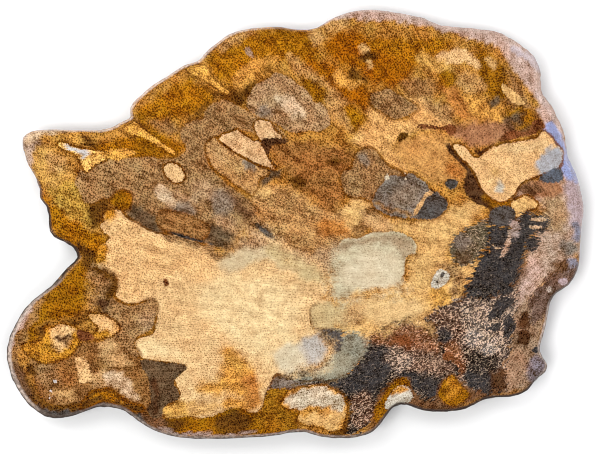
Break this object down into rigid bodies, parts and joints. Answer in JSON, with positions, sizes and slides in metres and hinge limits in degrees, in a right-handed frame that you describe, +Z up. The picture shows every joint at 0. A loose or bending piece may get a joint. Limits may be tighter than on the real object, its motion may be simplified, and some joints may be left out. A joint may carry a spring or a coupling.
{
  "type": "petrified wood slice",
  "caption": "Polished cross-cut slice of petrified wood with a lobed natural outline, flat faces and a tumbled edge.",
  "frame": {"origin": "middle of the box around the slice, on the flat underside", "axes": "+X along the long way of the slice, towards the broad end and away from the narrow tip; +Y towards the crest; +Z up, out of the polished upper face"},
  "size_m": [0.0916, 0.0684, 0.008],
  "materials": {
    "petrified_wood": "polished agatised wood, honey brown with cream, grey and black stains and fine dark pores"
  },
  "bodies": {
    "root": {"slice": "petrified_wood"}
  },
  "joints": []
}
